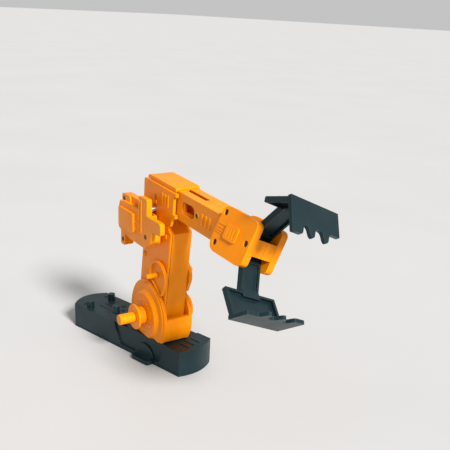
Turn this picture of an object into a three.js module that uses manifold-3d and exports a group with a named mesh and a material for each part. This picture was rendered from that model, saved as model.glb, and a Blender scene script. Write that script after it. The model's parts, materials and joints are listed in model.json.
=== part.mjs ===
// Motorised robot arm kit: a battery base, a swivelling shoulder, a leaning column, a gearbox,
// a forearm and a rolling wrist with two scalloped jaws. Millimetres, +Z up, origin under the
// waist axis on the ground, +X along the base towards the reach of the arm.
import * as THREE from "three";
import { mergeVertices } from "three/addons/utils/BufferGeometryUtils.js";
import Module from "manifold-3d";

const wasm = await Module();
wasm.setup();

// ---------- driving dimensions ----------
const GAP = 0.3; // clearance between neighbouring pieces
const RUN = 0.3; // radial clearance of a turning fit
const ROUND = 28; // facets of a large round
const SMALL_ROUND = 12; // facets of a pin or a screw
const FINEST = 0.08; // smallest detail kept

const BASE = { rear: -120, front: 52, half: 24.1, top: 28.3, rearBulge: 20, frontBulge: 13 };
const WALL = { side: 4.2, end: 3, roof: 2.4, floor: 2.2 };
const CELL = { radius: 5.25, length: 44.5, pitch: 11.2, rear: -97, height: 8.6 };
const BUTTON = { radius: 4.1, hole: 4.45, flange: 5.6, stemBottom: 23.4 };
const REAR_BUTTON = { x: -101, y: 15.7, top: 35.3 };
const PAD = { rear: -52.4, front: -41.1, y: 18.9, radius: 5.1, top: 38.5, buttonTop: 46 };
const FOOT = { radius: 14, x: -1, z: 5.4, tab: 31.3, height: 4.6, thick: 1.4, plug: 7.6 };
const RECESS = 1.8; // depth of the side recesses

const ARM_YAW = -15.44; // degrees about the waist axis
const SHOULDER_Z = 50.8;
const DRUM = { radius: 38, face: 35.6, half: 16.6, faceY: 18, gap: 12.9, slot: 33, seat: 28.7 };
const DISC = { foot: 28, top: 25, y: 22 };
const HUB = { radius: 10, flange: 13.7, inner: 30.4, outer: 32.8 };
const AXLE = { radius: 3.4, knob: 5.6, tip: 50.2, farEnd: 27.5 };

const COLUMN = { lean: 7.2, front: 26.4, back: -28.3, half: 12.4, foot: 14, straight: 92, frontTop: 104 };
const ELBOW = { x: 11.5, z: 171, head: 13.6, shaft: 3 };
const COVER = { thick: 2.4, low: 24, high: 103 };
const LUG = {
  x: 19, z: 100, radius: 17, tipX: 26.8, tipZ: 84, tipRadius: 3, out: 16.4, rim: 2.2, pin: 2.6, reach: 27,
};
const GEARBOX = { inner: 16.8, back: 18.4, split: 24.15, front: 29.3, inside: 27.4, pad: 32, line: 0.8 };
const LINE = { wide: 1.6, outerX: 8, innerX: 3.6, outerZ: 146, innerZ: 154, top: 180.5, end: -7 };

const PITCH = 2.81; // degrees that the forearm droops
const ROOT = { x: 9.12, z: 186.04 }; // start of the forearm axis
const PLATE = { inner: 12.8, outer: 15.6, ridge: 0.8, flange: 43.5 };
const CAP = { rear: -17, front: 39.5, half: 12, low: 4.5, top: 16.5, lip: 12.4, wall: 2.4 };
const FOREARM = { rear: 27, front: 113.4, half: 11.4, height: 14.3, wall: 2, joint: 0.15 };
const COLLAR = { radius: 10.3, back: 113.8, front: 122.2, spigot: 4.7, end: 130.4, flange: 7, bore: 1.6 };

const ROLL = -23.7; // degrees of wrist roll
const WRIST = { rear: 117.6, front: 167.8, low: -22.4, high: 19.6, inner: 10.97, outer: 18.25 };
const BAR = { rear: 163.5, low: -9.9, high: 5 };
const JAW_PIN = { s: 152.5, upper: 2.5, lower: -8.5, radius: 1.6, end: 14.6 };
const SECTOR = { pitch: 5.5, addendum: 0.9, dedendum: 1.3, teeth: 9, half: 5 };
const HAND = { half: 28.3, back: 28.8, blade: 28.3, notch: 8.6, thick: 5, edge: 3.4, rim: 2.6, floor: 2 };
const UPPER_JAW = { arm: 56.7, reach: 47.4, hand: 17.5, setBack: 6.2 };
const LOWER_JAW = { arm: -61.6, reach: 39.4, hand: -34.5, setBack: 1.5 };
const JAW_ARM = { half: 10, thick: 6, channel: 2, flange: 2.2 };

const COLOURS = {
  orange: new THREE.MeshStandardMaterial({ color: 0xf39a1a, roughness: 0.42, metalness: 0 }),
  slate: new THREE.MeshStandardMaterial({ color: 0x1d2f36, roughness: 0.5, metalness: 0 }),
  steel: new THREE.MeshStandardMaterial({ color: 0xb9bcc0, roughness: 0.35, metalness: 1 }),
  brass: new THREE.MeshStandardMaterial({ color: 0xc9a24a, roughness: 0.35, metalness: 1 }),
  cell: new THREE.MeshStandardMaterial({ color: 0x3b6f4a, roughness: 0.4, metalness: 0.2 }),
  board: new THREE.MeshStandardMaterial({ color: 0x2c6b3f, roughness: 0.6, metalness: 0 }),
  nylon: new THREE.MeshStandardMaterial({ color: 0xe9e6dc, roughness: 0.5, metalness: 0 }),
};

// ---------- solids ----------
const rad = THREE.MathUtils.degToRad;

function solid(geometry) {
  const bare = geometry.clone();
  bare.deleteAttribute("normal");
  bare.deleteAttribute("uv");
  const merged = mergeVertices(bare, 1e-4);
  return new wasm.Manifold(
    new wasm.Mesh({
      numProp: 3,
      vertProperties: merged.attributes.position.array,
      triVerts: new Uint32Array(merged.index.array),
    }),
  );
}

function turned(body, matrix) {
  return body.transform(matrix.elements);
}

function join(first, ...rest) {
  return rest.reduce((body, other) => body.add(other), first);
}

function cut(first, ...rest) {
  return rest.reduce((body, other) => body.subtract(other), first);
}

function box(x0, x1, y0, y1, z0, z1) {
  const geometry = new THREE.BoxGeometry(x1 - x0, y1 - y0, z1 - z0);
  return solid(geometry.translate((x0 + x1) / 2, (y0 + y1) / 2, (z0 + z1) / 2));
}

// A round bar along Y, Z or X between two stations.
function rodY(x, z, radius, y0, y1, facets = ROUND) {
  const geometry = new THREE.CylinderGeometry(radius, radius, y1 - y0, facets);
  return solid(geometry.translate(x, (y0 + y1) / 2, z));
}

function rodZ(x, y, radius, z0, z1, facets = ROUND) {
  const geometry = new THREE.CylinderGeometry(radius, radius, z1 - z0, facets).rotateX(Math.PI / 2);
  return solid(geometry.translate(x, y, (z0 + z1) / 2));
}

function rodX(y, z, radius, x0, x1, facets = ROUND) {
  const geometry = new THREE.CylinderGeometry(radius, radius, x1 - x0, facets).rotateZ(Math.PI / 2);
  return solid(geometry.translate((x0 + x1) / 2, y, z));
}

// A disc along Y whose radius changes from r0 at y0 to r1 at y1.
function coneY(x, z, r0, r1, y0, y1, facets = ROUND) {
  const geometry = new THREE.CylinderGeometry(r1, r0, y1 - y0, facets);
  return solid(geometry.translate(x, (y0 + y1) / 2, z));
}

// A closed outline whose corners are rounded to the radius given, or to the third value of a point.
function outline(points, radius) {
  const shape = new THREE.Shape();
  const count = points.length;
  points.forEach((point, i) => {
    const here = new THREE.Vector2(point[0], point[1]);
    const before = new THREE.Vector2(...points[(i + count - 1) % count].slice(0, 2)).sub(here);
    const after = new THREE.Vector2(...points[(i + 1) % count].slice(0, 2)).sub(here);
    const wanted = point[2] ?? radius;
    const size = Math.min(wanted, before.length() * 0.48, after.length() * 0.48);
    const enter = here.clone().add(before.setLength(size));
    const leave = here.clone().add(after.setLength(size));
    if (i === 0) shape.moveTo(enter.x, enter.y);
    else shape.lineTo(enter.x, enter.y);
    if (size > 0) shape.quadraticCurveTo(here.x, here.y, leave.x, leave.y);
  });
  shape.closePath();
  return shape;
}

// An outline in X and Z, thickened along Y.
function wallY(shape, y0, y1, steps = 3) {
  const settings = { depth: y1 - y0, curveSegments: steps, bevelEnabled: false };
  const geometry = new THREE.ExtrudeGeometry(shape, settings);
  return solid(geometry.rotateX(Math.PI / 2).translate(0, y1, 0));
}

// An outline in X and Y, thickened along Z.
function slabZ(shape, z0, z1, steps = 3) {
  const settings = { depth: z1 - z0, curveSegments: steps, bevelEnabled: false };
  const geometry = new THREE.ExtrudeGeometry(shape, settings);
  return solid(geometry.translate(0, 0, z0));
}

function rectangle(x0, x1, z0, z1, radius = 0) {
  return outline([[x0, z0], [x1, z0], [x1, z1], [x0, z1]], radius);
}

// Slivers finer than FINEST are merged away, so that every face left is a real one.
function meshOf(name, body, material) {
  const made = body.simplify(FINEST).getMesh();
  const geometry = new THREE.BufferGeometry();
  geometry.setAttribute("position", new THREE.BufferAttribute(new Float32Array(made.vertProperties), 3));
  geometry.setIndex(new THREE.BufferAttribute(new Uint32Array(made.triVerts), 1));
  geometry.computeVertexNormals();
  const mesh = new THREE.Mesh(geometry, material);
  mesh.name = name;
  return mesh;
}

// A pan-head screw along -Y: its head sits on the plane y and its shank goes in towards +Y.
function screwY(x, z, y, head, length) {
  const slot = box(x - head, x + head, y - 1.6, y - 0.8, z - 0.3, z + 0.3);
  const cap = rodY(x, z, head, y - 1.4, y, SMALL_ROUND);
  const body = join(cap, rodY(x, z, head * 0.42, y - 0.1, y + length, 10));
  return cut(body, slot);
}

// ---------- base ----------
function baseOutline(inset, sideInset = inset) {
  const half = BASE.half - sideInset;
  const rear = BASE.rear + inset;
  const front = BASE.front - inset;
  const shape = new THREE.Shape();
  shape.moveTo(rear, -half);
  shape.lineTo(front, -half);
  shape.quadraticCurveTo(front + BASE.frontBulge, 0, front, half);
  shape.lineTo(rear, half);
  shape.quadraticCurveTo(rear - BASE.rearBulge, 0, rear, -half);
  return shape;
}

function stadium(x0, x1, y, radius) {
  const shape = new THREE.Shape();
  shape.moveTo(x0, y - radius);
  shape.lineTo(x1, y - radius);
  shape.absarc(x1, y, radius, -Math.PI / 2, Math.PI / 2, false);
  shape.lineTo(x0, y + radius);
  shape.absarc(x0, y, radius, Math.PI / 2, 1.5 * Math.PI, false);
  return shape;
}

const BUTTONS = [
  { name: "button_rear_right", x: REAR_BUTTON.x, y: -REAR_BUTTON.y, top: REAR_BUTTON.top },
  { name: "button_rear_left", x: REAR_BUTTON.x, y: REAR_BUTTON.y, top: REAR_BUTTON.top },
  { name: "button_front_right", x: PAD.rear, y: -PAD.y, top: PAD.buttonTop },
  { name: "button_front_left", x: PAD.rear, y: PAD.y, top: PAD.buttonTop },
];
const BASE_SCREWS = [[-118, 0], [48, 0]];
const WAIST = { hole: 8.6, spigot: 8.2, washer: 12 };

function sideRecess(side) {
  const points = [[-50, 29.5, 0], [-40, 6, 5], [-34, 5, 3], [22, 5, 4], [33.5, 29.5, 0]];
  const body = wallY(outline(points, 2), BASE.half - RECESS, BASE.half + 1);
  return side > 0 ? body : body.mirror([0, 1, 0]);
}

function baseTopShell() {
  let shell = slabZ(baseOutline(0), WALL.floor + GAP, BASE.top, 7);
  for (const side of [-1, 1]) {
    const pad = slabZ(stadium(PAD.rear, PAD.front, side * PAD.y, PAD.radius), BASE.top - 1, PAD.top, 6);
    shell = join(shell, pad);
  }
  const hollow = slabZ(baseOutline(WALL.end, WALL.side), 0, BASE.top - WALL.roof, 4);
  shell = cut(shell, hollow, sideRecess(-1), sideRecess(1));
  for (const [x, y] of BASE_SCREWS) {
    const post = rodZ(x, y, 3.6, 6.2, BASE.top - WALL.roof + 0.2, SMALL_ROUND);
    shell = cut(join(shell, post), rodZ(x, y, 1.5, 6, 20, SMALL_ROUND));
  }
  for (const button of BUTTONS) {
    shell = cut(shell, rodZ(button.x, button.y, BUTTON.hole, 20, 60, 20));
  }
  shell = cut(shell, rodZ(0, 0, WAIST.hole, 20, 40));
  const through = FOOT.plug + GAP;
  return cut(shell, box(FOOT.x - through, FOOT.x + through, -BASE.half - 1, BASE.half + 1, 8, 12));
}

const HATCH = { rear: -99, front: -48, half: 18.4 };

function baseBottomPlate() {
  let plate = slabZ(baseOutline(0), 0, WALL.floor, 7);
  plate = cut(plate, box(HATCH.rear, HATCH.front, -HATCH.half, HATCH.half, -1, 5));
  const shelf = box(HATCH.front - 3, HATCH.front + 0.2, -8, 8, 1.6, WALL.floor);
  plate = join(plate, shelf);
  for (const [x, y] of BASE_SCREWS) {
    const bore = join(rodZ(x, y, 1.9, -1, 8, SMALL_ROUND), rodZ(x, y, 3.4, -1, 1.4, SMALL_ROUND));
    plate = cut(plate, bore);
  }
  return plate;
}

function batteryDoor() {
  const shape = rectangle(HATCH.rear + GAP, HATCH.front - GAP, -HATCH.half + GAP, HATCH.half - GAP, 1);
  const leaf = slabZ(shape, 0, 1.3);
  const ribs = [-1, 0, 1].map((row) => box(-90, -56, row * CELL.pitch - 0.6, row * CELL.pitch + 0.6, 1.2, 3));
  return join(leaf, ...ribs);
}

function batteryCell(row) {
  const y = row * CELL.pitch;
  const end = CELL.rear + CELL.length;
  const can = rodX(y, CELL.height, CELL.radius, CELL.rear, end - 1, 20);
  return join(can, rodX(y, CELL.height, 1.9, end - 1.2, end, 12));
}

function contactStrip(x, side) {
  const y = 1.5 * CELL.pitch;
  const strip = box(x - 0.3, x + 0.3, -y, y, 4.2, 13.5);
  const tab = box(Math.min(x, x + side * 4), Math.max(x, x + side * 4), -3, 3, 12.9, 13.5);
  return join(strip, tab);
}

function switchBoard() {
  const board = box(-108, -40, -19.2, 19.2, 15.2, 16.6);
  const caps = BUTTONS.map((b) => {
    const y = Math.sign(b.y) * 15.7;
    return box(b.x - 2.6, b.x + 2.6, y - 2.6, y + 2.6, 16.4, 20.4);
  });
  return join(board, ...caps);
}

function buttonCap(button) {
  const cap = rodZ(button.x, button.y, BUTTON.radius, BUTTON.stemBottom, button.top, 20);
  const low = BUTTON.stemBottom;
  const flange = rodZ(button.x, button.y, BUTTON.flange, low - 1.4, low + 0.2, 16);
  const inside = BASE.half - WALL.side - GAP;
  return join(cap, flange.intersect(box(-200, 200, -inside, inside, 0, 100)));
}

// A half-round plate that plugs into the side recess, with a flat toe on the ground.
function sideFoot(side) {
  const face = new THREE.Shape();
  face.absarc(FOOT.x, FOOT.z, FOOT.radius, 0, Math.PI, false);
  face.closePath();
  const inner = BASE.half - RECESS + GAP;
  const clear = BASE.half + GAP;
  const plate = wallY(face, inner, inner + FOOT.thick, 9);
  const bridge = box(FOOT.x - 12, FOOT.x + 12, inner, clear + 1.4, FOOT.z, FOOT.z + 1.8);
  const riser = box(FOOT.x - 12, FOOT.x + 12, clear, clear + 1.4, FOOT.height - 1, FOOT.z + 1.8);
  const left = FOOT.x - FOOT.radius;
  const right = FOOT.x + FOOT.radius;
  const corners = [[left, clear, 0], [right, clear, 0], [right - 1, FOOT.tab, 3], [left + 1, FOOT.tab, 3]];
  const toe = slabZ(outline(corners, 2), 0, FOOT.height);
  const plug = box(FOOT.x - FOOT.plug, FOOT.x + FOOT.plug, inner - 4, inner + 0.5, 8.4, 11.6);
  const body = join(plate, bridge, riser, toe, plug);
  return side > 0 ? body : body.mirror([0, 1, 0]);
}

function baseScrew([x, y]) {
  return join(rodZ(x, y, 2.9, 0.1, 1.2, SMALL_ROUND), rodZ(x, y, 1.2, 1.1, 18, 10));
}

const base = new THREE.Group();
base.add(meshOf("base_top_shell", baseTopShell(), COLOURS.slate));
base.add(meshOf("base_bottom_plate", baseBottomPlate(), COLOURS.slate));
base.add(meshOf("battery_door", batteryDoor(), COLOURS.slate));
[-1, 0, 1].forEach((row, i) => base.add(meshOf("battery_cell_" + (i + 1), batteryCell(row), COLOURS.cell)));
base.add(meshOf("battery_contact_rear", contactStrip(CELL.rear - 0.8, -1), COLOURS.brass));
base.add(meshOf("battery_contact_front", contactStrip(CELL.rear + CELL.length + 0.8, 1), COLOURS.brass));
base.add(meshOf("switch_board", switchBoard(), COLOURS.board));
for (const button of BUTTONS) base.add(meshOf(button.name, buttonCap(button), COLOURS.slate));
BASE_SCREWS.forEach((at, i) => base.add(meshOf("base_screw_" + (i + 1), baseScrew(at), COLOURS.steel)));
base.add(meshOf("side_foot_right", sideFoot(-1), COLOURS.slate));
base.add(meshOf("side_foot_left", sideFoot(1), COLOURS.slate));

// ---------- shoulder: turns on the base about Z ----------
const arm = new THREE.Group();
arm.rotation.z = rad(ARM_YAW);

function swivelPlate() {
  const plate = slabZ(rectangle(-31, 31, -DRUM.gap + GAP, DRUM.gap - GAP, 2), DRUM.seat, DRUM.seat + 3);
  const post = rodZ(0, 0, 3.2, DRUM.seat + 2.9, DRUM.seat + 6, SMALL_ROUND);
  const spigot = rodZ(0, 0, WAIST.spigot, 22.9, DRUM.seat + 0.1);
  return cut(join(plate, post, spigot), rodZ(0, 0, 1.3, 20, 32, SMALL_ROUND));
}

function waistWasher() {
  return cut(rodZ(0, 0, WAIST.washer, 21, 22.6), rodZ(0, 0, 1.7, 20, 24, SMALL_ROUND));
}

function waistScrew() {
  return join(rodZ(0, 0, 3, 19.2, 20.7, SMALL_ROUND), rodZ(0, 0, 1.05, 20.6, 31, 12));
}

function shoulderYoke() {
  const drum = rodY(0, SHOULDER_Z, DRUM.radius, -DRUM.half, DRUM.half, 44);
  const faces = rodY(0, SHOULDER_Z, DRUM.face, -DRUM.faceY, DRUM.faceY, 44);
  const discs = [
    coneY(0, SHOULDER_Z, DISC.top, DISC.foot, -DISC.y, -DRUM.faceY + 0.1, 36),
    coneY(0, SHOULDER_Z, DISC.foot, DISC.top, DRUM.faceY - 0.1, DISC.y, 36),
  ];
  const well = rodY(0, SHOULDER_Z, DRUM.slot, -DRUM.gap, DRUM.gap, 44);
  const mouth = box(-60, 60, -DRUM.gap, DRUM.gap, SHOULDER_Z + 6.7, 120);
  const under = box(-60, 60, -60, 60, -10, DRUM.seat);
  const slot = box(-31 - GAP, 31 + GAP, -DRUM.gap, DRUM.gap, 0, DRUM.seat + 3 + GAP);
  const bore = rodY(0, SHOULDER_Z, AXLE.radius + RUN, -60, 60, 20);
  return cut(join(drum, faces, ...discs), well, mouth, under, slot, bore);
}

function shoulderHub(side) {
  const y0 = DISC.y + GAP;
  const stem = rodY(0, SHOULDER_Z, HUB.radius, y0, HUB.inner + 0.1, 24);
  const flange = rodY(0, SHOULDER_Z, HUB.flange, HUB.inner, HUB.outer, 32);
  const bore = rodY(0, SHOULDER_Z, AXLE.radius + RUN, 0, 60, 20);
  const body = cut(join(stem, flange), bore);
  return side > 0 ? body : body.mirror([0, 1, 0]);
}

function shoulderAxle() {
  const knob = rodY(0, SHOULDER_Z, AXLE.knob, -AXLE.tip, -HUB.outer - GAP, 24);
  const shaft = rodY(0, SHOULDER_Z, AXLE.radius, -HUB.outer - 0.5, AXLE.farEnd + 8.4, 20);
  return join(knob, shaft);
}

function axleClip() {
  const ring = rodY(0, SHOULDER_Z, 7, HUB.outer + GAP, HUB.outer + 2, 20);
  return cut(ring, rodY(0, SHOULDER_Z, AXLE.radius + 0.15, 0, 60, 20));
}

arm.add(meshOf("shoulder_yoke", shoulderYoke(), COLOURS.orange));
arm.add(meshOf("swivel_plate", swivelPlate(), COLOURS.slate));
arm.add(meshOf("waist_washer", waistWasher(), COLOURS.steel));
arm.add(meshOf("waist_screw", waistScrew(), COLOURS.steel));
arm.add(meshOf("shoulder_hub_right", shoulderHub(-1), COLOURS.orange));
arm.add(meshOf("shoulder_hub_left", shoulderHub(1), COLOURS.orange));
arm.add(meshOf("shoulder_axle", shoulderAxle(), COLOURS.orange));
arm.add(meshOf("shoulder_axle_clip", axleClip(), COLOURS.steel));

// ---------- column: tilts on the shoulder axle ----------
// Column pieces are drawn upright about the axle and leaned once by this matrix.
const leaned = new THREE.Matrix4()
  .makeTranslation(0, 0, SHOULDER_Z)
  .multiply(new THREE.Matrix4().makeRotationY(rad(COLUMN.lean)));

// The elbow axis seen in the upright column.
const ELBOW_UP = new THREE.Vector3(ELBOW.x, 0, ELBOW.z).applyMatrix4(leaned.clone().invert());

function columnSide() {
  const { front, back, foot, straight, frontTop } = COLUMN;
  const shape = new THREE.Shape();
  shape.moveTo(back, 4);
  shape.quadraticCurveTo(back, -foot, 0, -foot);
  shape.quadraticCurveTo(front, -foot, front, 4);
  shape.lineTo(front, frontTop);
  shape.lineTo(ELBOW_UP.x + ELBOW.head, ELBOW_UP.z - 6);
  shape.absarc(ELBOW_UP.x, ELBOW_UP.z, ELBOW.head, 0, Math.PI, false);
  shape.lineTo(back + 4, ELBOW_UP.z - 10);
  shape.lineTo(back, straight);
  shape.closePath();
  return shape;
}

function upright(x, z) {
  const point = new THREE.Vector3(x, 0, z).applyMatrix4(leaned.clone().invert());
  return [point.x, point.z];
}

const LUG_PIN = upright(16.5, 101);
const COLUMN_SCREWS = [[-23.1, 61.3], [18.1, 98.5]];

function columnFrame() {
  const { half, back, front } = COLUMN;
  const block = wallY(columnSide(), -half, half, 8);
  const seat = box(-60, 60, -half - 1, -half + COVER.thick + GAP, COVER.low - GAP, COVER.high + GAP);
  const hollow = box(back + 3, front - 3, -half - 1, half - 3, COVER.low + 3, COVER.high - 8);
  const bores = [
    rodY(0, 0, AXLE.radius + RUN, -20, 20, 20),
    rodY(ELBOW_UP.x, ELBOW_UP.z, ELBOW.shaft + RUN, -20, 20, 20),
    rodY(...LUG_PIN, LUG.pin + 0.15, -20, 20, SMALL_ROUND),
  ];
  const holes = COLUMN_SCREWS.map(([x, z]) => rodY(x, z, 1.4, -13, -1, SMALL_ROUND));
  return turned(cut(block, seat, hollow, ...bores, ...holes), leaned);
}

function columnCover() {
  const below = box(-60, 60, -20, 20, -60, COVER.low);
  const above = box(-60, 60, -20, 20, COVER.high, 200);
  const skin = cut(wallY(columnSide(), -COLUMN.half, -COLUMN.half + COVER.thick, 8), below, above);
  const holes = COLUMN_SCREWS.map(([x, z]) => rodY(x, z, 1.7, -13, -1, SMALL_ROUND));
  return turned(cut(skin, ...holes, rodY(...LUG_PIN, LUG.pin + 0.15, -20, 20, SMALL_ROUND)), leaned);
}

function columnScrew([x, z]) {
  return turned(screwY(x, z, -COLUMN.half - 0.1, 2.6, 6), leaned);
}

// A teardrop lug: a thin floor on the column and a raised rim, wide at the top, narrow at its lower tip.
function teardrop(inset) {
  const [x, z] = upright(LUG.x, LUG.z);
  const [tipX, tipZ] = upright(LUG.tipX, LUG.tipZ);
  const shape = new THREE.Shape();
  const radius = LUG.radius - inset;
  shape.absarc(x, z, radius, rad(-28), rad(208), false);
  shape.lineTo(tipX - LUG.tipRadius + inset, tipZ - 2);
  shape.quadraticCurveTo(tipX, tipZ - LUG.tipRadius - 2 + inset, tipX + LUG.tipRadius - inset, tipZ - 1);
  shape.closePath();
  return shape;
}

function columnLug(side) {
  const y0 = COLUMN.half + GAP;
  const block = wallY(teardrop(0), y0, LUG.out, 8);
  const hollow = wallY(teardrop(LUG.rim), y0 + 1.2, LUG.out + 1, 8);
  const lug = cut(block, hollow, rodY(...LUG_PIN, LUG.pin + 0.15, 0, 60, SMALL_ROUND));
  return turned(side > 0 ? lug : lug.mirror([0, 1, 0]), leaned);
}

function lugPin() {
  return turned(rodY(...LUG_PIN, LUG.pin, -LUG.reach, LUG.reach, SMALL_ROUND), leaned);
}

arm.add(meshOf("column_frame", columnFrame(), COLOURS.orange));
arm.add(meshOf("column_cover", columnCover(), COLOURS.orange));
COLUMN_SCREWS.forEach((at, i) => arm.add(meshOf("column_screw_" + (i + 1), columnScrew(at), COLOURS.orange)));
arm.add(meshOf("column_lug_right", columnLug(-1), COLOURS.orange));
arm.add(meshOf("column_lug_left", columnLug(1), COLOURS.orange));
arm.add(meshOf("column_lug_pin", lugPin(), COLOURS.orange));

// ---------- gearbox: fixed to the right of the column, drives the elbow ----------
// The cover's outline: a body with a tower over the elbow axle and a wing to the front.
const GEARBOX_EDGE = [
  [-40, 170, 2], [1.5, 170, 1], [2, 184, 3], [20.5, 184, 3], [20.5, 167, 1.5],
  [48.5, 166.5, 4], [48.5, 153.5, 4], [31, 153.5, 1.5], [29, 141, 3], [16, 132, 3],
  [-14, 132.5, 2], [-34, 135.5, 1.5], [-44.5, 139, 3], [-44, 160, 3],
];
// The housing behind it stops short of the tower and the wing.
const HOUSING_EDGE = [
  [-41.5, 176.5, 3], [-5, 176.5, 2], [-4.5, 166, 1], [18.5, 166, 2], [21.5, 152, 2], [27, 141, 3],
  [16, 133, 3], [-14, 133.5, 2], [-33.5, 136, 0.5], [-33.5, 119.8, 3], [-43, 119.8, 3], [-43.5, 160, 3],
];
const GEARBOX_PAD = [[-39, 163.5], [-5.5, 163], [-4.5, 143], [-10, 141], [-39, 141.5]];
const UPPER_EAR = { x0: -41.5, x1: -23, z0: 165, z1: 176.5, y: 26.2 };
const LOWER_EAR = { x0: -43, x1: -33.5, z0: 119.8, z1: 137, y: 27 };
const TOWER = { x0: 2.2, x1: 18.8, z0: 160, z1: 183, back: 22.6 };
const MOTOR_BAY = [-42, 17, 141, 168.2];
const TOWER_BAY = [3.4, 18.9, 141, 182.2];
const WING_BAY = [16, 46.7, 155.3, 164.8];
const SADDLE = [-12, 20, 135, 149]; // where the gearbox bears on the column
const GEARBOX_SCREWS = [[-36.8, 171.2], [-38.4, 126], [17.5, 144.5]];
const GEARBOX_SEATS = [-UPPER_EAR.y, -LOWER_EAR.y, -GEARBOX.front];
const MOTOR = { rear: -29.5, front: -7.5, z: 161.4, width: 11.6, depth: 5.6, y: -24.2 };

function bay([x0, x1, z0, z1], y0, y1) {
  return box(x0, x1, y0, y1, z0, z1);
}

function gearboxHousing() {
  const face = -GEARBOX.split + GAP / 2;
  const shell = wallY(outline(HOUSING_EDGE, 2), face, -GEARBOX.inner);
  const hollow = join(bay(MOTOR_BAY, -30, -GEARBOX.back), bay([3.4, 16.6, 141, 164.2], -30, -GEARBOX.back));
  const tower = wallY(rectangle(TOWER.x0, TOWER.x1, TOWER.z0, TOWER.z1, 2.5), face, -TOWER.back);
  const saddle = wallY(rectangle(...SADDLE, 3), -GEARBOX.inner - 0.1, -COLUMN.half - GAP);
  const post = rodY(...GEARBOX_SCREWS[2], 3, face, -GEARBOX.inner - 1, SMALL_ROUND);
  const holes = GEARBOX_SCREWS.map(([x, z]) => rodY(x, z, 1.25, -40, -19, SMALL_ROUND));
  const bore = rodY(ELBOW.x, ELBOW.z, ELBOW.shaft + RUN, -60, 0, 20);
  const slot = box(1, 16.2, -30, -TOWER.back + 0.01, 158, 166.2);
  return cut(join(cut(shell, hollow), cut(tower, slot), saddle, post), ...holes, bore);
}

function gearboxCover() {
  const face = -GEARBOX.split - GAP / 2;
  const body = wallY(outline(GEARBOX_EDGE, 2), -GEARBOX.front, face);
  const ears = [UPPER_EAR, LOWER_EAR].map((e) => wallY(rectangle(e.x0, e.x1, e.z0, e.z1, 2.5), -e.y, face));
  const hollows = [MOTOR_BAY, TOWER_BAY, WING_BAY].map((space) => bay(space, -GEARBOX.inside, 0));
  const pad = wallY(outline(GEARBOX_PAD, 2.5), -GEARBOX.pad, -GEARBOX.front + 0.2);
  const line = [-GEARBOX.front - GEARBOX.line, -GEARBOX.front + 0.2];
  const corners = [[LINE.innerX, LINE.innerZ], [LINE.outerX, LINE.outerZ]];
  const lines = corners.flatMap(([x, z]) => [
    box(x, x + LINE.wide, ...line, z, LINE.top),
    box(LINE.end, x + LINE.wide, ...line, z, z + LINE.wide),
  ]);
  const post = rodY(...GEARBOX_SCREWS[2], 4, -GEARBOX.front, face, SMALL_ROUND);
  const wells = GEARBOX_SCREWS.map(([x, z], i) => rodY(x, z, 2.6, -50, GEARBOX_SEATS[i] + 1.2, SMALL_ROUND));
  const shanks = GEARBOX_SCREWS.map(([x, z]) => rodY(x, z, 1.5, -50, -20, SMALL_ROUND));
  const shell = cut(join(body, ...ears), ...hollows);
  return cut(join(shell, pad, ...lines, post), ...wells, ...shanks);
}

function gearboxScrew([x, z], i) {
  const seat = GEARBOX_SEATS[i];
  return join(
    rodY(x, z, 2.2, seat - 0.1, seat + 1, SMALL_ROUND),
    rodY(x, z, 0.95, seat + 0.9, -20.4, 12),
  );
}

function smallMotor() {
  const half = MOTOR.width / 2;
  const can = box(MOTOR.rear, MOTOR.front, MOTOR.y - MOTOR.depth / 2, MOTOR.y + MOTOR.depth / 2, -half, half);
  const nose = rodX(MOTOR.y, 0, 2, MOTOR.front - 0.1, MOTOR.front + 1.2, SMALL_ROUND);
  const shaft = rodX(MOTOR.y, 0, 0.75, MOTOR.front + 1, MOTOR.front + 3, 12);
  return join(can, nose, shaft).translate(0, 0, MOTOR.z);
}

// A worm: a core with a stack of flights along X.
function worm(y, z, { start, end, core, crest, pitch, bore }) {
  let body = rodX(y, z, core, start, end, SMALL_ROUND);
  for (let x = start + pitch * 0.7; x < end - pitch * 0.6; x += pitch) {
    body = join(body, rodX(y, z, crest, x, x + pitch * 0.4, SMALL_ROUND));
  }
  return cut(body, rodX(y, z, bore, start - 1, start + 4, 12));
}

// A spur wheel on an axis along Y.
function wheelY(x, z, { y0, y1, root, crest, teeth }, bore, phase = 0) {
  const shape = new THREE.Shape();
  const step = (2 * Math.PI) / teeth;
  for (let i = 0; i < teeth; i++) {
    const a = i * step + phase;
    const marks = [[-0.34, root], [-0.13, crest], [0.13, crest], [0.34, root]];
    marks.forEach(([share, r], k) => {
      const angle = a + share * step;
      const px = Math.cos(angle) * r;
      const pz = Math.sin(angle) * r;
      if (i === 0 && k === 0) shape.moveTo(px, pz);
      else shape.lineTo(px, pz);
    });
  }
  shape.closePath();
  return cut(wallY(shape, y0, y1).translate(x, 0, z), rodY(x, z, bore, y0 - 1, y1 + 1, SMALL_ROUND));
}

const WORM = { start: -6, end: 15, core: 1.6, crest: 2.6, pitch: 3.2, bore: 0.95 };
const WORM_WHEEL = { root: 5.7, crest: 6.8, teeth: 14, y0: -27, y1: -24.6 };

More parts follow.
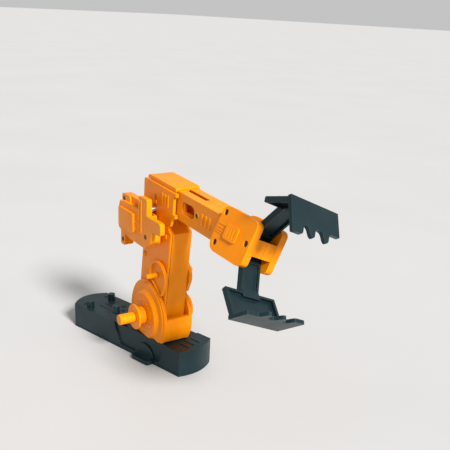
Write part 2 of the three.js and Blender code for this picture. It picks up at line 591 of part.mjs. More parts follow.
arm.add(meshOf("gearbox_housing", gearboxHousing(), COLOURS.orange));
arm.add(meshOf("gearbox_cover", gearboxCover(), COLOURS.orange));
GEARBOX_SCREWS.forEach((at, i) => {
  arm.add(meshOf("gearbox_screw_" + (i + 1), gearboxScrew(at, i), COLOURS.steel));
});
arm.add(meshOf("elbow_motor", smallMotor(), COLOURS.steel));
arm.add(meshOf("elbow_worm", worm(MOTOR.y, MOTOR.z, WORM), COLOURS.brass));
arm.add(meshOf("elbow_worm_wheel", wheelY(ELBOW.x, ELBOW.z, WORM_WHEEL, ELBOW.shaft + 0.15), COLOURS.nylon));
arm.add(meshOf("elbow_axle", rodY(ELBOW.x, ELBOW.z, ELBOW.shaft, -27, 18.4, SMALL_ROUND), COLOURS.steel));

base.add(arm);

// ---------- forearm: pitches about the elbow axle ----------
const forearm = new THREE.Group();
forearm.position.set(ROOT.x, 0, ROOT.z);
forearm.rotation.y = rad(PITCH);
arm.add(forearm);
forearm.updateMatrix();

const ELBOW_FORE = new THREE.Vector3(ELBOW.x, 0, ELBOW.z).applyMatrix4(forearm.matrix.clone().invert());
const ELBOW_EDGE = [
  [-21, -9, 2], [-21, 12, 3], [39.6, 12, 3], [39.6, -10, 3], [35, -24.5, 3], [15.5, -24.5, 3], [14.5, -29, 3],
  [-7, -29, 4], [-11, -12, 3],
];

function elbowPlate(side) {
  const plate = wallY(outline(ELBOW_EDGE, 2), PLATE.inner, PLATE.outer);
  const groove = wallY(rectangle(0.6, 5.8, -22, 0.6, 2.6), PLATE.outer - 1.4, PLATE.outer + 1);
  const pin = rodY(5.2, -6.9, 2, PLATE.inner, PLATE.outer + PLATE.ridge, SMALL_ROUND);
  const ridges = [17.5, 23, 28.5].map((s) => {
    return wallY(rectangle(s, s + 2, -5.5, 6.5), PLATE.outer - 0.1, PLATE.outer + PLATE.ridge);
  });
  const flanges = [[8.6, 12], [-13, -9.6]].map(([low, high]) => {
    return box(37, PLATE.flange, CAP.half + GAP / 2, PLATE.outer, low, high);
  });
  const bore = rodY(ELBOW_FORE.x, ELBOW_FORE.z, ELBOW.shaft + 0.15, -60, 60, 20);
  const body = cut(join(cut(plate, groove), pin, ...ridges, ...flanges), bore);
  return side > 0 ? body : body.mirror([0, 1, 0]);
}

function headCap() {
  const { rear, front, half, low, top, lip, wall } = CAP;
  const side = [[rear, lip, 1], [rear, top - 1, 3], [rear + 4, top, 2], [front, top, 3], [front, lip, 1]];
  const lid = wallY(outline(side, 1), -half - 1.4, half + 1.4);
  const core = box(rear + 1.5, front - 1.5, -half + 0.2, half - 0.2, low, 13);
  const inset = wall + 1.1;
  const hollow = box(rear + inset, front - inset, -half + wall, half - wall, low - 1, top - wall);
  return cut(join(lid, core), hollow);
}

const FOREARM_SCREW = [76, 0.4];

function forearmHalf(side) {
  const { rear, front, half, height, wall, joint } = FOREARM;
  const edge = outline([[rear, -height, 2], [front, -height, 2], [front, height, 2], [rear, height, 2]], 2);
  const block = wallY(edge, joint, half);
  const roofCut = box(rear - 1, CAP.front + GAP, -1, 20, CAP.low - GAP, 30);
  const inner = box(rear + 2, front - 2.4, -1, half - wall, -height + wall, height - wall);
  const window = wallY(rectangle(48.5, 71, -5.5, 6.5, 5.5), 0, half + 1, 5);
  const topSlot = box(37, 76, -1, 2.4, height - wall - 1, height + 1);
  const boss = rodY(...FOREARM_SCREW, 3.4, joint, half + 0.6, SMALL_ROUND);
  const ridges = [84.5, 91, 97.5].map((s) => wallY(rectangle(s, s + 2.4, -6, 5.5), half - 0.1, half + 1.1));
  const screw = rodY(...FOREARM_SCREW, side < 0 ? 1.7 : 1.1, -1, half + 2, SMALL_ROUND);
  const head = rodY(...FOREARM_SCREW, side < 0 ? 2.5 : 1.1, half - 1.5, half + 2, SMALL_ROUND);
  const nose = rodX(0, 0, 2.2, front - 4, front + 1, SMALL_ROUND);
  const body = cut(join(cut(block, roofCut, inner, window, topSlot), boss, ...ridges), screw, head, nose);
  return side > 0 ? body : body.mirror([0, 1, 0]);
}

function forearmScrew() {
  const shank = rodY(...FOREARM_SCREW, 0.95, -FOREARM.half + 1.6, FOREARM.half - 3, 12);
  const head = rodY(...FOREARM_SCREW, 2.1, -FOREARM.half - 0.1, -FOREARM.half + 1.3, SMALL_ROUND);
  return join(head, shank.translate(0, -0.5, 0));
}

const GRIP_MOTOR = { rear: 79.5, front: 104, half: 7.4 };

function gripMotor() {
  const { rear, front, half } = GRIP_MOTOR;
  const can = rodX(0, 0, half, rear + 4, front, 24);
  const flats = box(rear, front + 5, -half - 1, half + 1, -6, 6);
  const nose = rodX(0, 0, 2, front - 0.1, front + 1.6, SMALL_ROUND);
  return join(can.intersect(flats), nose, rodX(0, 0, 0.75, front + 1, 112, 12));
}

function wristCollar() {
  const disc = rodX(0, 0, COLLAR.radius, COLLAR.back, COLLAR.front, 32);
  const spigot = rodX(0, 0, COLLAR.spigot, COLLAR.front - 0.1, COLLAR.end, 24);
  const flange = rodX(0, 0, COLLAR.flange, COLLAR.end - 2, COLLAR.end, 24);
  const bore = rodX(0, 0, COLLAR.bore, COLLAR.back - 1, COLLAR.end + 1, SMALL_ROUND);
  return cut(join(disc, spigot, flange), bore);
}

function gripShaft() {
  const shaft = rodX(0, 0, 1.2, 112.4, 137, 16);
  return cut(join(shaft, rodX(0, 0, 2.6, 133, 140.5, SMALL_ROUND)), rodX(0, 0, 0.4, 111, 112.6, 8));
}

forearm.add(meshOf("elbow_plate_right", elbowPlate(-1), COLOURS.orange));
forearm.add(meshOf("elbow_plate_left", elbowPlate(1), COLOURS.orange));
forearm.add(meshOf("head_cap", headCap(), COLOURS.orange));
forearm.add(meshOf("forearm_right_shell", forearmHalf(-1), COLOURS.orange));
forearm.add(meshOf("forearm_left_shell", forearmHalf(1), COLOURS.orange));
forearm.add(meshOf("forearm_screw", forearmScrew(), COLOURS.steel));
forearm.add(meshOf("gripper_motor", gripMotor(), COLOURS.steel));
forearm.add(meshOf("wrist_collar", wristCollar(), COLOURS.orange));
forearm.add(meshOf("gripper_shaft", gripShaft(), COLOURS.steel));

// ---------- wrist: rolls about the forearm axis ----------
const wrist = new THREE.Group();
wrist.rotation.x = rad(ROLL);
forearm.add(wrist);

const WRIST_EDGE = [
  [WRIST.rear, -15.5, 3], [120.5, -20.5, 3], [126, WRIST.low, 3], [163, WRIST.low, 3.5], [168, -19.5, 3],
  [WRIST.front, 15.5, 3], [164, 18.6, 3], [127, WRIST.high, 4], [120, 17.5, 3], [WRIST.rear, 12.5, 3],
];
const WRIST_SCREWS = [[122.9, 12.9], [124.2, -14.6], [162.6, -2.4]];

function wristHalf(side) {
  const joint = FOREARM.joint;
  const plate = wallY(outline(WRIST_EDGE, 3), WRIST.inner, WRIST.outer);
  const bar = box(BAR.rear, WRIST.front - 0.3, joint, WRIST.inner + 0.1, BAR.low, BAR.high);
  const web = box(COLLAR.front + GAP, COLLAR.end - 2 - GAP, joint, WRIST.inner + 0.1, -15, 13);
  const bore = rodX(0, 0, COLLAR.spigot + RUN, 100, COLLAR.end, 24);
  const pins = [JAW_PIN.upper, JAW_PIN.lower].map((z) => {
    return rodY(JAW_PIN.s, z, JAW_PIN.radius + 0.1, 8, JAW_PIN.end + 0.4, 16);
  });
  const sinks = WRIST_SCREWS.map(([x, z]) => {
    return rodY(x, z, 2.9, WRIST.outer - 2.6, WRIST.outer + 1, SMALL_ROUND);
  });
  const shanks = WRIST_SCREWS.map(([x, z]) => rodY(x, z, 1.3, -1, WRIST.outer - 2, 14));
  const body = cut(join(plate, bar, web), bore, ...pins, ...sinks, ...shanks);
  return side > 0 ? body : body.mirror([0, 1, 0]);
}

function wristScrew([x, z]) {
  const top = -WRIST.outer + 2.4;
  return join(rodY(x, z, 2.5, top - 1.3, top, SMALL_ROUND), rodY(x, z, 1, top - 0.1, 8, 12));
}

function wristBadge() {
  const plate = wallY(rectangle(132.4, 150.2, -8, 6, 3), -WRIST.outer - 1.5, -WRIST.outer - 0.05);
  const slits = [137.2, 141.2, 145.2].map((s) => box(s, s + 1, -WRIST.outer - 2, -WRIST.outer - 0.9, -5, 3));
  return cut(plate, ...slits);
}

wrist.add(meshOf("wrist_right_half", wristHalf(-1), COLOURS.orange));
wrist.add(meshOf("wrist_left_half", wristHalf(1), COLOURS.orange));
wrist.add(meshOf("wrist_badge", wristBadge(), COLOURS.orange));
WRIST_SCREWS.forEach((at, i) => wrist.add(meshOf("wrist_screw_" + (i + 1), wristScrew(at), COLOURS.steel)));
[["jaw_pin_upper", JAW_PIN.upper], ["jaw_pin_lower", JAW_PIN.lower]].forEach(([name, z]) => {
  wrist.add(meshOf(name, rodY(JAW_PIN.s, z, JAW_PIN.radius, -JAW_PIN.end, JAW_PIN.end, 16), COLOURS.steel));
});

// ---------- jaws ----------
// A jaw is drawn in its own plane: u along the wrist axis, v away from the middle, both from its pin.
function jaw(which, flip, phase) {
  const along = (angle, length) => [Math.cos(rad(angle)) * length, Math.sin(rad(angle)) * length];
  const armAngle = Math.abs(which.arm);
  const handAngle = Math.abs(which.hand);
  const bladeAngle = handAngle - 71;
  const [jx, jz] = along(armAngle, which.reach);
  const [bx, bz] = along(handAngle, -which.setBack);
  const free = [jx + bx, jz + bz];
  const [kx, kz] = along(handAngle, HAND.back);
  const knuckle = [free[0] + kx, free[1] + kz];

  // the flat arm, recessed on both faces
  const upArm = new THREE.Matrix4().makeRotationY(-rad(armAngle));
  const half = JAW_ARM.thick / 2;
  const bar = box(0, which.reach + 1, -JAW_ARM.half, JAW_ARM.half, -half, half);
  const inY = JAW_ARM.half - JAW_ARM.flange;
  const pocket = (z0, z1) => box(11, which.reach - 5, -inY, inY, z0, z1);
  const { channel } = JAW_ARM;
  const channelled = cut(bar, pocket(half - channel, half + 1), pocket(-half - 1, -half + channel));
  const hub = rodY(0, 0, SECTOR.pitch - SECTOR.dedendum, -JAW_ARM.half, JAW_ARM.half, 20);
  const keep = rodY(0, 0, 8.2, -SECTOR.half - GAP, SECTOR.half + GAP, 20);
  const limb = join(cut(turned(channelled, upArm), keepForGear(keep, armAngle)), hub);

  // the tray, from the free edge to the knuckle
  const toHand = new THREE.Matrix4()
    .makeTranslation(free[0], 0, free[1])
    .multiply(new THREE.Matrix4().makeRotationY(-rad(handAngle)));
  const trayEdge = [[0, 0, 1], [HAND.back, 0, 1.5], [HAND.back - 2, -HAND.thick, 0], [0, -HAND.thick, 1]];
  const trayShape = outline(trayEdge, 1);
  const tray = wallY(trayShape, -HAND.half, HAND.half);
  const { rim } = HAND;
  const dish = box(rim, HAND.back - rim - 2, -HAND.half + rim, HAND.half - rim, -HAND.thick - 1, -HAND.floor);
  const { setBack } = which;
  const armFoot = box(setBack - 4, setBack + 4, -JAW_ARM.half, JAW_ARM.half, -HAND.thick, -HAND.floor + 0.1);
  const studs = [-18, 0, 18].map((y) => rodZ(HAND.back - 4.5, y, 2.3, -0.5, 1.7, 14));
  const palm = turned(join(cut(tray, dish), armFoot, ...studs), toHand);

  // the scalloped blade, from the knuckle to the teeth
  const toBlade = new THREE.Matrix4()
    .makeTranslation(knuckle[0], 0, knuckle[1])
    .multiply(new THREE.Matrix4().makeRotationY(-rad(bladeAngle)));
  const palmBlade = turned(slabZ(bladeOutline(flip), -HAND.edge, 0, 3), toBlade);
  let body = join(limb, palm, palmBlade);

  // the sector of teeth that meshes with the other jaw
  const gear = sector(phase);
  body = cut(join(body, gear), rodY(0, 0, JAW_PIN.radius + RUN, -20, 20, 16));
  if (flip) body = body.mirror([0, 0, 1]);
  return body.translate(JAW_PIN.s, 0, flip ? JAW_PIN.lower : JAW_PIN.upper);
}

function keepForGear(keep, armAngle) {
  const behind = new THREE.Matrix4().makeRotationY(-rad(armAngle));
  return keep.intersect(turned(box(-20, 4.2, -20, 20, -20, 20), behind));
}

// The blade's outline: teeth and notches along its far edge, wide end tooth first.
function bladeOutline(flip) {
  const { half, blade, notch } = HAND;
  const low = blade - notch;
  const sign = flip ? 1 : -1;
  const shape = new THREE.Shape();
  const at = (x, y) => [x, sign * y];
  shape.moveTo(...at(-2, half));
  shape.lineTo(...at(blade - 1, half));
  shape.quadraticCurveTo(...at(blade, half), ...at(blade, half - 1));
  shape.lineTo(...at(blade, half - 9.5));
  shape.quadraticCurveTo(...at(blade, half - 12), ...at(blade - notch / 2, half - 12.6));
  shape.quadraticCurveTo(...at(low, half - 13.5), ...at(low, half - 15.5));
  for (const y of [half - 15.5, half - 32]) {
    shape.quadraticCurveTo(...at(low, y - 3.4), ...at(blade - notch / 2, y - 4.2));
    shape.quadraticCurveTo(...at(blade, y - 5), ...at(blade, y - 7.4));
    shape.quadraticCurveTo(...at(blade, y - 10), ...at(blade - notch / 2, y - 10.8));
    shape.quadraticCurveTo(...at(low, y - 11.6), ...at(low, y - 14));
    shape.lineTo(...at(low, y - 16.5));
  }
  shape.lineTo(...at(low, -half + 1));
  shape.quadraticCurveTo(...at(low, -half), ...at(low - 1, -half));
  shape.lineTo(...at(-2, -half));
  shape.closePath();
  return shape;
}

// Gear teeth around the whole hub except where the arm leaves it.
function sector(phase) {
  const { pitch, addendum, dedendum, teeth, half } = SECTOR;
  const root = pitch - dedendum;
  const wheel = { y0: -half, y1: half, root, crest: pitch + addendum, teeth };
  return wheelY(0, 0, wheel, 0.5, phase);
}

const TOOTH = (2 * Math.PI) / SECTOR.teeth;
wrist.add(meshOf("upper_jaw", jaw(UPPER_JAW, false, -Math.PI / 2), COLOURS.slate));
wrist.add(meshOf("lower_jaw", jaw(LOWER_JAW, true, -Math.PI / 2 + TOOTH / 2), COLOURS.slate));

export default base;
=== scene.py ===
# Looks of the motorised robot arm kit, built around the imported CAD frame. Metres, +Z up.
import json
import math

import bmesh
import bpy
from mathutils import Matrix, Vector


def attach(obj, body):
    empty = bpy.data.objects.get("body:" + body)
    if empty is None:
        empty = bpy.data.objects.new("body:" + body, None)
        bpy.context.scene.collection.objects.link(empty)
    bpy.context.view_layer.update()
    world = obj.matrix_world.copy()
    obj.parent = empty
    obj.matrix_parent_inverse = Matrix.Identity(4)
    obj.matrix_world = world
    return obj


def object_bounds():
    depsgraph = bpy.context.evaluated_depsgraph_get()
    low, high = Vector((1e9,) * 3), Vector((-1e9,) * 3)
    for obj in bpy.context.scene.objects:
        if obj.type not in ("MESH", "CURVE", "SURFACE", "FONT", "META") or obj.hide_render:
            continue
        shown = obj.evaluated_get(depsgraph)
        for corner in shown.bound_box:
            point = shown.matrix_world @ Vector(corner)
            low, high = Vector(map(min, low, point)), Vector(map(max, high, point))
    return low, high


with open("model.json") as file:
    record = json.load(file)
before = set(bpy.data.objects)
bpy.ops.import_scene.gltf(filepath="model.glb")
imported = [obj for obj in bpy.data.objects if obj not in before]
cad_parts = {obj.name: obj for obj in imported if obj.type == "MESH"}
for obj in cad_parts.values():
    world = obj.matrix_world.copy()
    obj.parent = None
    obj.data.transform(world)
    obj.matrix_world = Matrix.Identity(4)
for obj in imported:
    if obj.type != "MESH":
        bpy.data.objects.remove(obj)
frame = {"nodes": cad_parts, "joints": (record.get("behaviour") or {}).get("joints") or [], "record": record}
cad_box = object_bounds()
NODES = frame["nodes"]
JOINTS = {joint["name"]: joint for joint in frame["joints"]}
MM = 0.001


# ---------- frames taken from the joints ----------
def axis_of(name):
    return Vector(JOINTS[name]["axis"]).normalized()


def centre_of(name):
    return Vector(JOINTS[name]["pos_m"])


def basis(origin, across, forward):
    """A right-handed frame with Y along `across` and X as near `forward` as that allows."""
    y = across.normalized()
    x = (forward - y * forward.dot(y)).normalized()
    z = x.cross(y)
    turn = Matrix((x, y, z)).transposed().to_4x4()
    return Matrix.Translation(origin) @ turn


UP = Vector((0, 0, 1))
ARM_ACROSS = axis_of("shoulder_tilt")
ARM_FORWARD = ARM_ACROSS.cross(UP)
SHOULDER = basis(centre_of("shoulder_tilt"), ARM_ACROSS, ARM_FORWARD)
WRIST = basis(centre_of("upper_jaw_swing"), axis_of("upper_jaw_swing"), axis_of("wrist_roll"))


# ---------- materials ----------
def new_material(name):
    material = bpy.data.materials.new(name)
    material.use_nodes = True
    tree = material.node_tree
    tree.nodes.clear()
    out = tree.nodes.new("ShaderNodeOutputMaterial")
    shader = tree.nodes.new("ShaderNodeBsdfPrincipled")
    tree.links.new(shader.outputs["BSDF"], out.inputs["Surface"])
    return material, tree, shader


def noise(tree, scale, detail=3.0, rough=0.55):
    where = tree.nodes.new("ShaderNodeTexCoord")
    node = tree.nodes.new("ShaderNodeTexNoise")
    node.inputs["Scale"].default_value = scale
    node.inputs["Detail"].default_value = detail
    node.inputs["Roughness"].default_value = rough
    tree.links.new(where.outputs["Object"], node.inputs["Vector"])
    return node.outputs["Fac"]


def ramp(tree, value, stops):
    node = tree.nodes.new("ShaderNodeValToRGB")
    elements = node.color_ramp.elements
    while len(elements) < len(stops):
        elements.new(0.5)
    for element, (at, colour) in zip(elements, stops):
        element.position = at
        element.color = (*colour, 1)
    tree.links.new(value, node.inputs["Fac"])
    return node.outputs["Color"]


def mix(tree, share, first, second, kind="MIX"):
    node = tree.nodes.new("ShaderNodeMix")
    node.data_type = "RGBA"
    node.blend_type = kind
    if hasattr(share, "links"):
        tree.links.new(share, node.inputs["Factor"])
    else:
        node.inputs["Factor"].default_value = share
    for socket, value in ((node.inputs["A"], first), (node.inputs["B"], second)):
        if hasattr(value, "links"):
            tree.links.new(value, socket)
        else:
            socket.default_value = (*value, 1)
    return node.outputs["Result"]


def grey(value):
    return (value, value, value)


def edge_share(tree, radius, low, high):
    """0 on flats and 1 where the surface turns sharply within that radius."""
    rounded = tree.nodes.new("ShaderNodeBevel")
    rounded.samples = 6
    rounded.inputs["Radius"].default_value = radius
    geometry = tree.nodes.new("ShaderNodeNewGeometry")
    match = tree.nodes.new("ShaderNodeVectorMath")
    match.operation = "DOT_PRODUCT"
    tree.links.new(rounded.outputs["Normal"], match.inputs[0])
    tree.links.new(geometry.outputs["Normal"], match.inputs[1])
    stretch = tree.nodes.new("ShaderNodeMapRange")
    stretch.inputs["From Min"].default_value = 1.0 - low
    stretch.inputs["From Max"].default_value = 1.0 - high
    tree.links.new(match.outputs["Value"], stretch.inputs["Value"])
    return stretch.outputs["Result"]


def times(tree, first, second):
    node = tree.nodes.new("ShaderNodeMath")
    node.operation = "MULTIPLY"
    tree.links.new(first, node.inputs[0])
    tree.links.new(second, node.inputs[1])
    return node.outputs[0]


def relief(tree, shader, heights, strength, distance):
    """Bump from a sum of noise heights."""
    total = heights[0]
    for extra in heights[1:]:
        add = tree.nodes.new("ShaderNodeMath")
        add.operation = "ADD"
        tree.links.new(total, add.inputs[0])
        tree.links.new(extra, add.inputs[1])
        total = add.outputs[0]
    bump = tree.nodes.new("ShaderNodeBump")
    bump.inputs["Strength"].default_value = strength
    bump.inputs["Distance"].default_value = distance
    tree.links.new(total, bump.inputs["Height"])
    tree.links.new(bump.outputs["Normal"], shader.inputs["Normal"])


def moulded_plastic(name, low, high, worn, roughness, grain, gloss=0.5, tint=(1, 1, 1)):
    """Moulded plastic: slow colour drift, a fine spark-eroded grain and paler worn edges."""
    material, tree, shader = new_material(name)
    drift = ramp(tree, noise(tree, 38, 2.0), [(0.3, low), (0.7, high)])
    fine = ramp(tree, noise(tree, 900, 2.0), [(0.35, grey(0.94)), (0.65, grey(1.0))])
    body = mix(tree, 1.0, drift, fine, "MULTIPLY")
    rubbed = edge_share(tree, 0.0006, 0.02, 0.30)
    colour = mix(tree, times(tree, rubbed, noise(tree, 240, 3.0)), body, worn)
    tree.links.new(colour, shader.inputs["Base Color"])
    dull = [(0.3, grey(roughness - 0.05)), (0.75, grey(roughness + 0.07))]
    patch = ramp(tree, noise(tree, 60, 4.0), dull)
    tree.links.new(patch, shader.inputs["Roughness"])
    shader.inputs["Specular IOR Level"].default_value = gloss
    shader.inputs["Specular Tint"].default_value = (*tint, 1)
    relief(tree, shader, [noise(tree, 1500, 2.0), noise(tree, 260, 3.0)], grain, 0.00012)
    return material


def metal(name, low, high, roughness, scale):
    """Plated or drawn metal with fine streaks and duller handled patches."""
    material, tree, shader = new_material(name)
    tone = ramp(tree, noise(tree, scale, 4.0, 0.7), [(0.3, low), (0.7, high)])
    tree.links.new(tone, shader.inputs["Base Color"])
    dull = [(0.3, grey(roughness - 0.08)), (0.7, grey(roughness + 0.12))]
    patch = ramp(tree, noise(tree, scale * 0.4, 3.0), dull)
    tree.links.new(patch, shader.inputs["Roughness"])
    shader.inputs["Metallic"].default_value = 1.0
    relief(tree, shader, [noise(tree, scale * 6, 2.0)], 0.25, 0.00005)
    return material


def circuit_board():
    material, tree, shader = new_material("solder_mask")
    greens = [(0.48, (0.012, 0.13, 0.045)), (0.53, (0.03, 0.23, 0.07))]
    tracks = ramp(tree, noise(tree, 420, 0.0), greens)
    tree.links.new(tracks, shader.inputs["Base Color"])
    dull = ramp(tree, noise(tree, 90), [(0.3, grey(0.32)), (0.7, grey(0.5))])
    tree.links.new(dull, shader.inputs["Roughness"])
    relief(tree, shader, [noise(tree, 420, 0.0)], 0.3, 0.00008)
    return material


ORANGE = moulded_plastic(
    "orange_plastic", (0.80, 0.225, 0.0010), (0.88, 0.262, 0.0018), worn=(1.0, 0.50, 0.03),
    roughness=0.36, grain=0.16, gloss=0.25, tint=(1, 0.75, 0.4))
SLATE = moulded_plastic(
    "dark_plastic", (0.004, 0.011, 0.014), (0.007, 0.017, 0.021), worn=(0.06, 0.13, 0.15),
    roughness=0.36, grain=0.22, gloss=0.36, tint=(0.6, 0.92, 1))
# Near-black for the button chevrons: painted shade standing in for the shade inside the real chevron
# grooves, which are drawn raised here.
GROOVE_PAINTED_SHADE = moulded_plastic(
    "groove_painted_shade", (0.004, 0.008, 0.010), (0.007, 0.012, 0.014), worn=(0.02, 0.03, 0.035),
    roughness=0.65, grain=0.2)
NYLON = moulded_plastic(
    "nylon", (0.70, 0.68, 0.62), (0.80, 0.78, 0.72), (0.9, 0.88, 0.84), 0.45, 0.2)
FILM = moulded_plastic(
    "battery_film", (0.02, 0.13, 0.06), (0.03, 0.17, 0.08), (0.3, 0.4, 0.33), 0.32, 0.08)
STEEL = metal("zinc_steel", (0.52, 0.53, 0.55), (0.70, 0.71, 0.73), 0.34, 500)
BLACKENED = metal("blackened_screw", (0.05, 0.035, 0.02), (0.10, 0.07, 0.05), 0.45, 500)
BRASS = metal("brass", (0.60, 0.40, 0.12), (0.80, 0.58, 0.22), 0.30, 450)
BOARD = circuit_board()
MATERIALS = {
    "orange_plastic": ORANGE,
    "dark_plastic": SLATE,
    "steel": STEEL,
    "brass": BRASS,
    "battery": FILM,
    "circuit_board": BOARD,
    "nylon": NYLON,
}


# ---------- CAD nodes: same meshes, softer edges and real finishes ----------
EDGE = {"orange_plastic": 0.55, "dark_plastic": 0.5}  # wished edge width in mm
OTHER_EDGE = 0.25
SHARP_EDGE = 0.15
SHARP = ("gearbox_screw", "wrist_screw", "base_screw", "forearm_screw", "waist_screw",
         "elbow_worm", "battery_contact")
BLACK_SCREWS = ("gearbox_screw", "wrist_screw", "forearm_screw")
WIDTH_STEPS = (1.0, 0.85, 0.7, 0.5, 0.4, 0.3, 0.2, 0.15)  # shares of the wished width, widest first
FOLD_LIMIT = 0.002  # share of a node's surface that may be shaded against its own facing
FOLD_COSINE = 0.35  # below this a corner's shading normal counts as turned away
SLIVER = 1e-9  # triangles of less area than this, in square metres, don't count
WELD = 0.04  # mm
FLAT_ANGLE = math.radians(2)
CORNER_ANGLE = math.radians(32)


def folded_share(node):
    """Share of the node's evaluated surface whose shading normal turns far from its facing."""
    seen = node.evaluated_get(bpy.context.evaluated_depsgraph_get())
    mesh = seen.to_mesh()
    mesh.calc_loop_triangles()
    folded = 0.0
    whole = 0.0
    for triangle in mesh.loop_triangles:
        whole += triangle.area
        if triangle.area < SLIVER:
            continue
        a, b, c = (mesh.vertices[index].co for index in triangle.vertices)
        facing = (b - a).cross(c - a).normalized()
        shading = [mesh.corner_normals[loop].vector for loop in triangle.loops]
        if min(facing.dot(normal) for normal in shading) < FOLD_COSINE:
            folded += triangle.area
    seen.to_mesh_clear()
    return folded / whole


def soften(node, width):
    """Merges flat facets and rounds every real corner at the widest listed width whose folded share stays
    under the limit, else at the narrowest listed width.
    """
    mesh = node.data
    stored = mesh.attributes.get("custom_normal")
    if stored:
        mesh.attributes.remove(stored)
    for face in mesh.polygons:
        face.use_smooth = True
    weld = node.modifiers.new("weld", "WELD")
    weld.merge_threshold = WELD * MM
    flat = node.modifiers.new("flat", "DECIMATE")
    flat.decimate_type = "DISSOLVE"
    flat.angle_limit = FLAT_ANGLE
    bevel = node.modifiers.new("edges", "BEVEL")
    bevel.segments = 3
    bevel.limit_method = "ANGLE"
    bevel.angle_limit = CORNER_ANGLE
    bevel.use_clamp_overlap = False
    bevel.loop_slide = False
    bevel.harden_normals = True
    for share in WIDTH_STEPS:
        bevel.width = width * share * MM
        bpy.context.view_layer.update()
        if folded_share(node) < FOLD_LIMIT:
            break


slots = {row["node"]: row["material_slot"] for row in frame["record"]["subparts"]}
for name, node in NODES.items():
    slot = slots[name]
    node.data.materials.clear()
    node.data.materials.append(BLACKENED if name.startswith(BLACK_SCREWS) else MATERIALS[slot])
    soften(node, SHARP_EDGE if name.startswith(SHARP) else EDGE.get(slot, OTHER_EDGE))


# ---------- mesh helpers for the small moulded details ----------
def place(name, mesh, material, body, bevel=0.0):
    """Puts a mesh in the scene as a piece of that body, with rounded edges if asked."""
    obj = bpy.data.objects.new(name, mesh)
    bpy.context.scene.collection.objects.link(obj)
    mesh.materials.append(material)
    for face in mesh.polygons:
        face.use_smooth = True
    if bevel:
        edges = obj.modifiers.new("edges", "BEVEL")
        edges.width = bevel
        edges.segments = 3
        edges.limit_method = "ANGLE"
        edges.angle_limit = CORNER_ANGLE
        even = obj.modifiers.new("normals", "WEIGHTED_NORMAL")
        even.keep_sharp = True
    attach(obj, body)
    return obj


def mesh_from(name, build):
    shape = bmesh.new()
    build(shape)
    bmesh.ops.remove_doubles(shape, verts=shape.verts, dist=1e-6)
    bmesh.ops.recalc_face_normals(shape, faces=shape.faces)
    mesh = bpy.data.meshes.new(name)
    shape.to_mesh(mesh)
    shape.free()
    return mesh


def prism(shape, points, low, high, to_space):
    """A closed prism on an outline: to_space turns (a, b, height) into a point."""
    bottom = [shape.verts.new(to_space(a, b, low)) for a, b in points]
    top = [shape.verts.new(to_space(a, b, high)) for a, b in points]
    shape.faces.new(bottom[::-1])
    shape.faces.new(top)
    for i in range(len(points)):
        j = (i + 1) % len(points)
        shape.faces.new((bottom[i], bottom[j], top[j], top[i]))


def rounded_bar(length, width, steps=6):
    """Outline of a round-ended bar about its middle."""
    reach = length / 2 - width / 2
    points = []
    for end, start in ((reach, -90), (-reach, 90)):
        for k in range(steps + 1):
            angle = math.radians(start + 180 * k / steps)
            points.append((end + math.cos(angle) * width / 2, math.sin(angle) * width / 2))
    return points


def dome(shape, centre, normal, radius, height, rings=4, sides=16):
    """A low round dome with a closed back."""
    normal = normal.normalized()
    side = normal.orthogonal().normalized()
    other = normal.cross(side)
    loops = []
    for k in range(rings):
        lift = math.sin(math.pi / 2 * k / rings) * height
        wide = math.cos(math.pi / 2 * k / rings) * radius
        loop = []
        for i in range(sides):
            angle = 2 * math.pi * i / sides
            around = side * math.cos(angle) + other * math.sin(angle)
            loop.append(shape.verts.new(centre + normal * lift + around * wide))
        loops.append(loop)
    tip = shape.verts.new(centre + normal * height)
    shape.faces.new(loops[0][::-1])
    for low, high in zip(loops, loops[1:]):
        for i in range(sides):
            j = (i + 1) % sides
            shape.faces.new((low[i], low[j], high[j], high[i]))
    for i in range(sides):
        shape.faces.new((loops[-1][i], loops[-1][(i + 1) % sides], tip))


# ---------- moulded details on the base ----------
ROOF = 28.3 * MM  # height of the base's flat top above the floor
SINK = 0.15  # mm that a small detail reaches into the surface below it


def plate_piece(name, outlines, height, matrix, material, body, bevel=0.25):
    """One piece made of low prisms on the XY plane of `matrix`, sunk a little into the surface."""
    def build(shape):
        for points in outlines:
            scaled = [(a * MM, b * MM) for a, b in points]
            prism(shape, scaled, -SINK * MM, height * MM,
                  lambda a, b, h: matrix @ Vector((a, b, h)))
    return place(name, mesh_from(name, build), material, body, bevel=bevel * MM)


def moved(points, a, b, turn=0.0):
    """The outline turned by that many degrees and then shifted to (a, b)."""
    cosine = math.cos(math.radians(turn))
    sine = math.sin(math.radians(turn))
    return [(a + x * cosine - y * sine, b + x * sine + y * cosine) for x, y in points]


ON_ROOF = Matrix.Translation((0, 0, ROOF))
LONG_RIBS = [moved(rounded_bar(20, 2.2), -87, -5), moved(rounded_bar(14, 2.2), -90, 2.6)]
FRONT_RIBS = [moved(rounded_bar(13, 2.0), 44, y) for y in (-8.5, 0, 8.7)]
PEAKS = [(-2.6, -2.4), (-1.0, 0.6), (0, -1.0), (1.0, 0.6), (2.6, -2.4),
         (1.6, -2.4), (0.9, -1.1), (0, -2.4), (-0.9, -1.1), (-1.6, -2.4)]
CHEVRON = [(a * 1.2, (b + 1.0) * 1.3) for a, b in PEAKS]
MARK_PLACES = [(-111, 15.7, 90), (-111, -15.7, 90), (-74, 12, -90), (-66, 4, -90)]
MARKS = [moved(CHEVRON, *place_and_turn) for place_and_turn in MARK_PLACES]
TICK = [(-0.2, -0.9), (0.2, -0.9), (0.2, 0.9), (-0.2, 0.9)]
TICKS = [moved(TICK, -114 + 2.4 * k, -21.0) for k in range(22)]


def roof_piece(name, outlines, height, material=SLATE, bevel=0.25):
    plate_piece(name, outlines, height, ON_ROOF, material, "base", bevel)


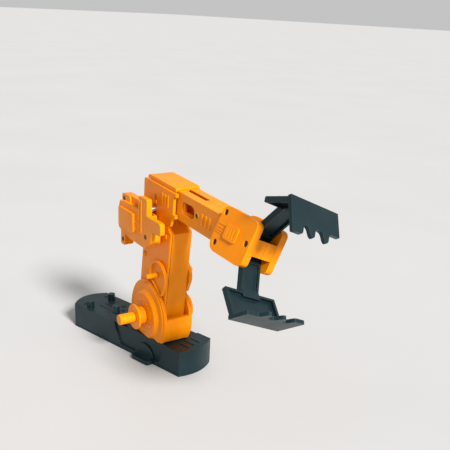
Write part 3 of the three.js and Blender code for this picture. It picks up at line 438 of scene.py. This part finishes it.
roof_piece("base_long_ribs", LONG_RIBS, 0.5)
roof_piece("base_front_ribs", FRONT_RIBS, 0.7)
# The chevrons are raised here and coloured near-black as painted shade for the real grooves.
roof_piece("base_chevron_groove_shade", MARKS, 0.35, GROOVE_PAINTED_SHADE, bevel=0.1)
roof_piece("base_edge_ticks", TICKS, 0.25, bevel=0.05)


# ---------- dots on the shoulder discs ----------
DOTS = {"count": 20, "ring": 17.2, "radius": 0.85, "height": 0.75, "face": 22.0}


def disc_dots(side):
    """A ring of low round studs on the outer face of a shoulder disc."""
    outward = ARM_ACROSS * side
    face_centre = SHOULDER.to_translation() + outward * (DOTS["face"] - SINK) * MM

    def build(shape):
        for k in range(DOTS["count"]):
            angle = math.tau * (k + 0.5) / DOTS["count"]
            along = SHOULDER.to_3x3() @ Vector((math.cos(angle), 0, math.sin(angle)))
            spot = face_centre + along * DOTS["ring"] * MM
            dome(shape, spot, outward, DOTS["radius"] * MM, DOTS["height"] * MM)
    name = "shoulder_dots_right" if side < 0 else "shoulder_dots_left"
    return place(name, mesh_from(name, build), ORANGE, "shoulder")


disc_dots(-1)
disc_dots(1)


# ---------- raised lines on the wrist ----------
def side_matrix(base, side, distance):
    """Local XY plane on a side face: X stays forward, Y goes up and Z points outward."""
    forward, across, up = (column.normalized() for column in base.to_3x3().transposed())
    columns = Matrix((forward, up, across * side)).transposed().to_4x4()
    return Matrix.Translation(base.to_translation() + across * side * distance * MM) @ columns


LINES = {"face": 18.25, "length": 12, "width": 0.8, "middle": -27.0,
         "heights": (0.0, -3.2, -5.7, -7.8)}


def wrist_lines(side):
    """Raised lines that run from the badge to the edge of a wrist half."""
    face = side_matrix(WRIST, side, LINES["face"])
    line = rounded_bar(LINES["length"], LINES["width"], 3)
    outlines = [moved(line, LINES["middle"], height) for height in LINES["heights"]]
    name = "wrist_lines_right" if side < 0 else "wrist_lines_left"
    return plate_piece(name, outlines, 0.5, face, ORANGE, "wrist", 0.15)


wrist_lines(-1)
wrist_lines(1)


# ---------- camera, light and floor ----------
VIEW = {"azimuth": 39.573, "elevation": 18.798, "roll": 2.984, "distance": 0.6631}
LOOK_AT = Vector((0.0940, 0.0, 0.1495))
FOCAL = {"sensor": 36.0, "lens": 55.27, "shift_x": -0.0136, "shift_y": 0.0473}


def make_camera():
    azimuth, elevation, roll = (math.radians(VIEW[key]) for key in ("azimuth", "elevation", "roll"))
    level = math.cos(elevation)
    back = Vector((math.sin(azimuth) * level, -math.cos(azimuth) * level, math.sin(elevation)))
    right = Vector((math.cos(azimuth), math.sin(azimuth), 0))
    up = back.cross(right)
    right_rolled = right * math.cos(roll) + up * math.sin(roll)
    up_rolled = up * math.cos(roll) - right * math.sin(roll)
    data = bpy.data.cameras.new("camera")
    data.sensor_width = FOCAL["sensor"]
    data.lens = FOCAL["lens"]
    data.shift_x = FOCAL["shift_x"]
    data.shift_y = FOCAL["shift_y"]
    data.clip_start = 0.01
    camera = bpy.data.objects.new("camera", data)
    turn = Matrix((right_rolled, up_rolled, back)).transposed().to_4x4()
    camera.matrix_world = Matrix.Translation(LOOK_AT + back * VIEW["distance"]) @ turn
    bpy.context.scene.collection.objects.link(camera)
    bpy.context.scene.camera = camera


def sun_light(name, direction, strength, softness, colour):
    """A distant soft light shining along the direction."""
    data = bpy.data.lights.new(name, "SUN")
    data.energy = strength
    data.angle = math.radians(softness)
    data.color = colour
    light = bpy.data.objects.new(name, data)
    light.rotation_euler = Vector(direction).to_track_quat("-Z", "Y").to_euler()
    bpy.context.scene.collection.objects.link(light)


FLOOR = {"size": 60.0, "drop": 0.0002}


def make_floor():
    material, tree, shader = new_material("pale_floor")
    tone = ramp(tree, noise(tree, 3.0, 2.0), [(0.3, grey(0.46)), (0.7, grey(0.48))])
    tree.links.new(tone, shader.inputs["Base Color"])
    shader.inputs["Roughness"].default_value = 0.55
    below = cad_box[0][2] - FLOOR["drop"]
    bpy.ops.mesh.primitive_plane_add(size=FLOOR["size"], location=(0, 0, below))
    floor = bpy.context.object
    floor.name = "floor"
    floor.data.materials.append(material)


def make_world():
    world = bpy.data.worlds.new("world")
    bpy.context.scene.world = world
    world.use_nodes = True
    sky = world.node_tree.nodes["Background"]
    sky.inputs["Color"].default_value = (1.0, 1.0, 1.0, 1)
    sky.inputs["Strength"].default_value = 0.55


make_camera()
make_floor()
make_world()
sun_light("key", (-1.05, 0.30, -0.80), 6.4, 14, (1.0, 0.98, 0.95))
bpy.context.scene.view_settings.view_transform = "Standard"
